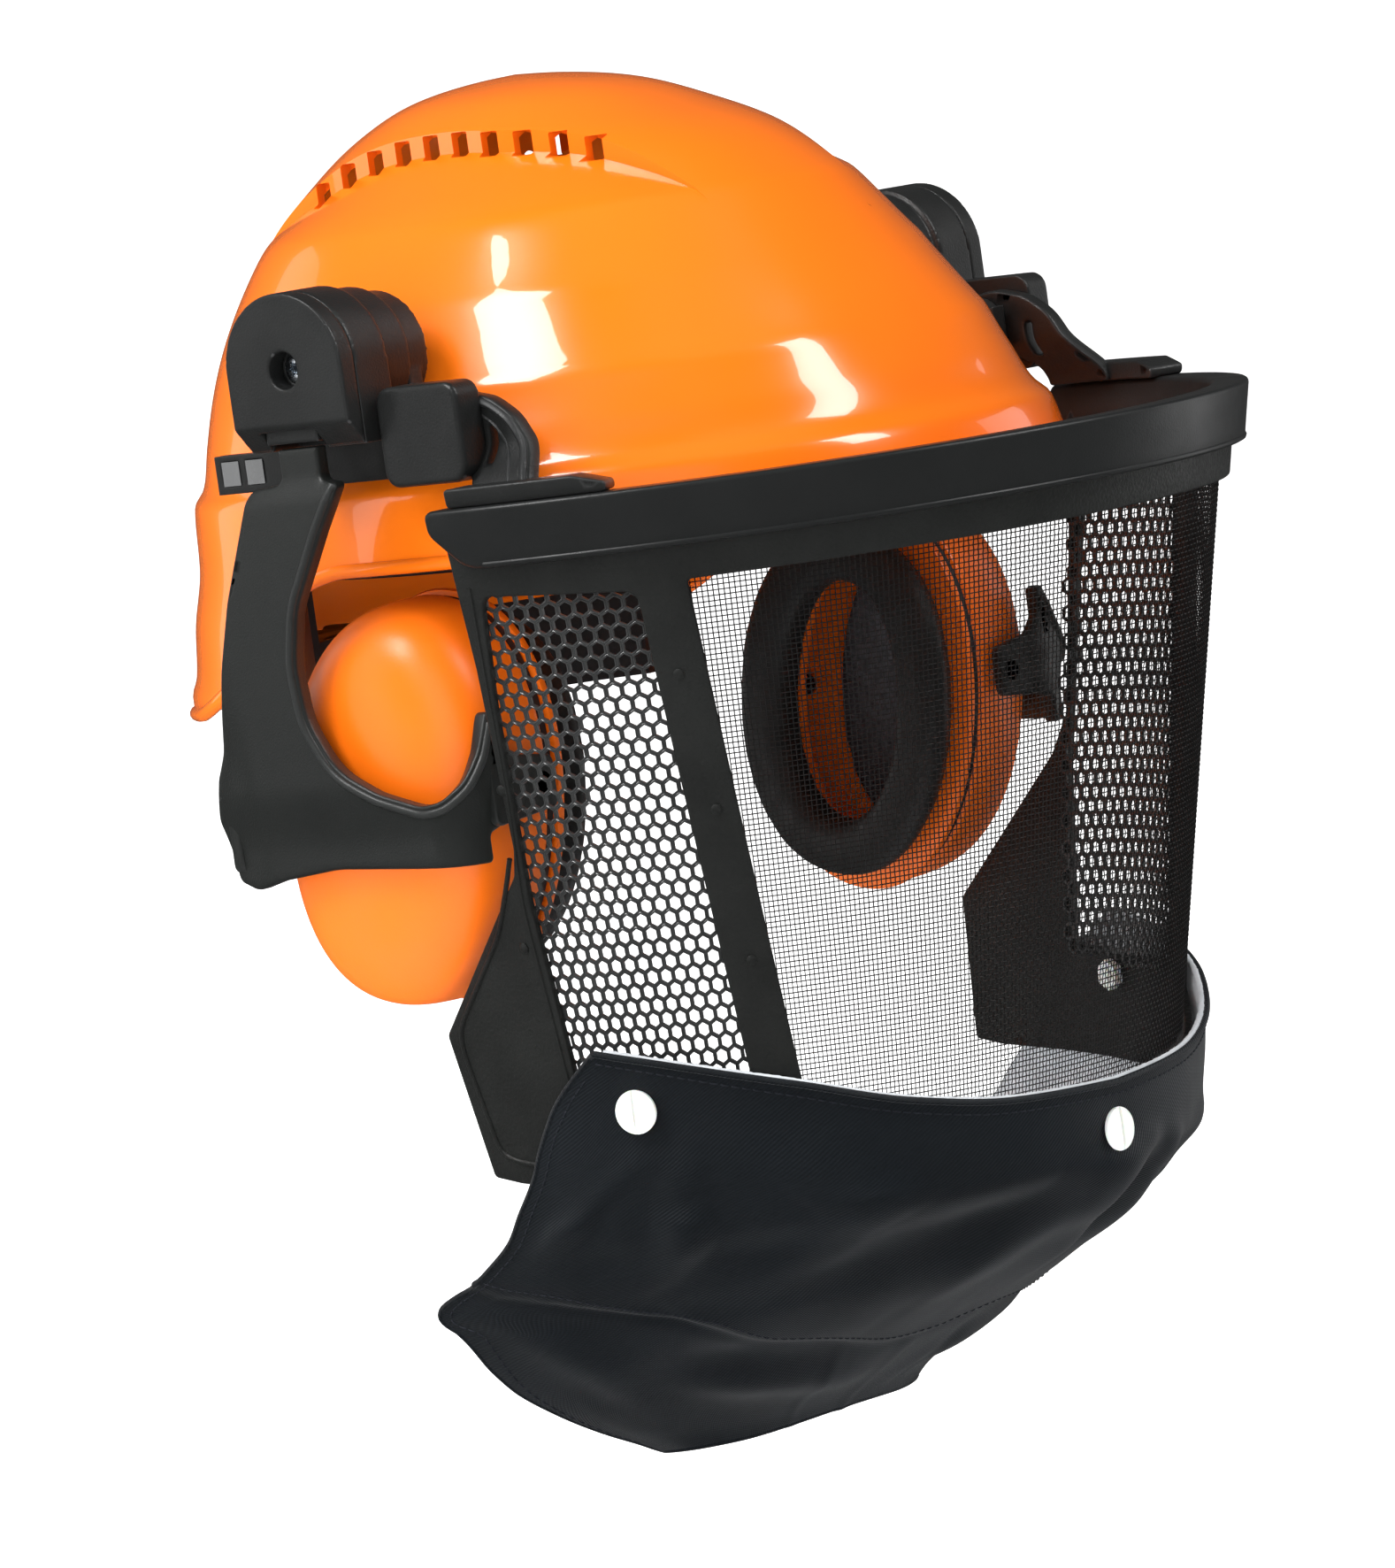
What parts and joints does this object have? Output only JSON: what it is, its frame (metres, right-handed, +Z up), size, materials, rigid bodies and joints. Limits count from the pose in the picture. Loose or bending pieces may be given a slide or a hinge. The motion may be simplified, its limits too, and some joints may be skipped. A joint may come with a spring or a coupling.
{
  "type": "forestry helmet",
  "caption": "Hard-shell head protection with a flip-up mesh face screen, cloth chin flap and swing-out ear muffs on a webbing cradle.",
  "frame": {"origin": "centre of the wearer's head, 14 mm below the level of the shell's side rim", "axes": "+Z up out of the crown, -Y the way the wearer faces, -X the wearer's right"},
  "size_m": [0.2818, 0.3136, 0.376],
  "materials": {
    "shell_orange": "glossy moulded orange",
    "cup_orange": "satin moulded orange",
    "moulded_black": "fine-textured moulded black",
    "arm_black": "smooth satin black",
    "rail_black": "satin black",
    "cradle_black": "semi-matt black",
    "mesh_black": "black woven wire",
    "grille_black": "black perforated sheet",
    "flap_cloth": "navy-black coated twill",
    "white_nylon": "milky white nylon",
    "zinc_steel": "blue zinc plated",
    "clear_insert": "clear",
    "webbing": "woven black webbing",
    "sweat_terry": "terry over foam",
    "cushion_black": "grained film over foam",
    "foam_grey": "open-cell foam"
  },
  "bodies": {
    "helmet": {"shell": "shell_orange", "headband": "cradle_black", "sweatband": "sweat_terry", "nape_strap": "cradle_black", "ratchet_housing": "moulded_black", "crown_strap_front_left": "webbing", "crown_strap_front_right": "webbing", "crown_strap_side": "webbing", "cradle_hangers": "cradle_black", "carrier_right": "moulded_black", "carrier_left": "moulded_black", "tab_windows": "clear_insert", "visor_clip_right": "moulded_black", "visor_clip_left": "moulded_black", "visor_pivot_pins": "moulded_black", "swivel_screws": "zinc_steel"},
    "fit_knob": {"ratchet_knob": "moulded_black"},
    "visor": {"visor_rail": "rail_black", "visor_arm_right": "moulded_black", "visor_arm_left": "moulded_black", "visor_frame": "moulded_black", "front_mesh": "mesh_black", "side_grille_right": "grille_black", "side_grille_left": "grille_black", "chin_flap": "flap_cloth", "flap_screws": "white_nylon", "flap_nuts": "white_nylon"},
    "drum_right": {"drum_housing_right": "moulded_black", "drum_cap_right": "moulded_black", "hinge_pin_right": "zinc_steel"},
    "hinge_right": {"hinge_block_right": "moulded_black"},
    "arm_right": {"muff_arm_right": "arm_black", "cup_pins_right": "zinc_steel"},
    "cup_right": {"cup_shell_right": "cup_orange", "cup_plate_right": "cup_orange", "ear_cushion_right": "cushion_black", "foam_liner_right": "foam_grey"},
    "drum_left": {"drum_housing_left": "moulded_black", "drum_cap_left": "moulded_black", "hinge_pin_left": "zinc_steel"},
    "hinge_left": {"hinge_block_left": "moulded_black"},
    "arm_left": {"muff_arm_left": "arm_black", "cup_pins_left": "zinc_steel"},
    "cup_left": {"cup_shell_left": "cup_orange", "cup_plate_left": "cup_orange", "ear_cushion_left": "cushion_black", "foam_liner_left": "foam_grey"}
  },
  "joints": [
    {"name": "visor_tilt", "type": "hinge", "parent": "helmet", "child": "visor", "pos_m": [0, -0.035, 0.05], "axis": [-1, 0, 0], "range_deg": [0, 90]},
    {"name": "fit_knob_turn", "type": "hinge", "parent": "helmet", "child": "fit_knob", "pos_m": [0, 0.117, -0.023], "axis": [0, 1, 0], "continuous": true},
    {"name": "muff_swivel_right", "type": "hinge", "parent": "helmet", "child": "drum_right", "pos_m": [-0.125, 0.0025, 0.0715], "axis": [1, 0, 0], "range_deg": [0, 12]},
    {"name": "muff_swing_right", "type": "hinge", "parent": "drum_right", "child": "hinge_right", "pos_m": [-0.1267, 0.0055, 0.056], "axis": [0, 1, 0], "range_deg": [0, 25], "stiffness_Nm_per_rad": 0.6, "springref_deg": -20.05},
    {"name": "muff_height_right", "type": "slide", "parent": "hinge_right", "child": "arm_right", "axis": [0, 0, -1], "range_m": [0, 0.007]},
    {"name": "cup_tilt_right", "type": "hinge", "parent": "arm_right", "child": "cup_right", "pos_m": [-0.102, 0.007, -0.046], "axis": [0, 1, 0], "range_deg": [-6, 6]},
    {"name": "muff_swivel_left", "type": "hinge", "parent": "helmet", "child": "drum_left", "pos_m": [0.125, 0.0025, 0.0715], "axis": [1, 0, 0], "range_deg": [0, 12]},
    {"name": "muff_swing_left", "type": "hinge", "parent": "drum_left", "child": "hinge_left", "pos_m": [0.1267, 0.0055, 0.056], "axis": [0, -1, 0], "range_deg": [0, 25], "stiffness_Nm_per_rad": 0.6, "springref_deg": -20.05},
    {"name": "muff_height_left", "type": "slide", "parent": "hinge_left", "child": "arm_left", "axis": [0, 0, -1], "range_m": [0, 0.007]},
    {"name": "cup_tilt_left", "type": "hinge", "parent": "arm_left", "child": "cup_left", "pos_m": [0.102, 0.007, -0.046], "axis": [0, 1, 0], "range_deg": [-6, 6]}
  ]
}
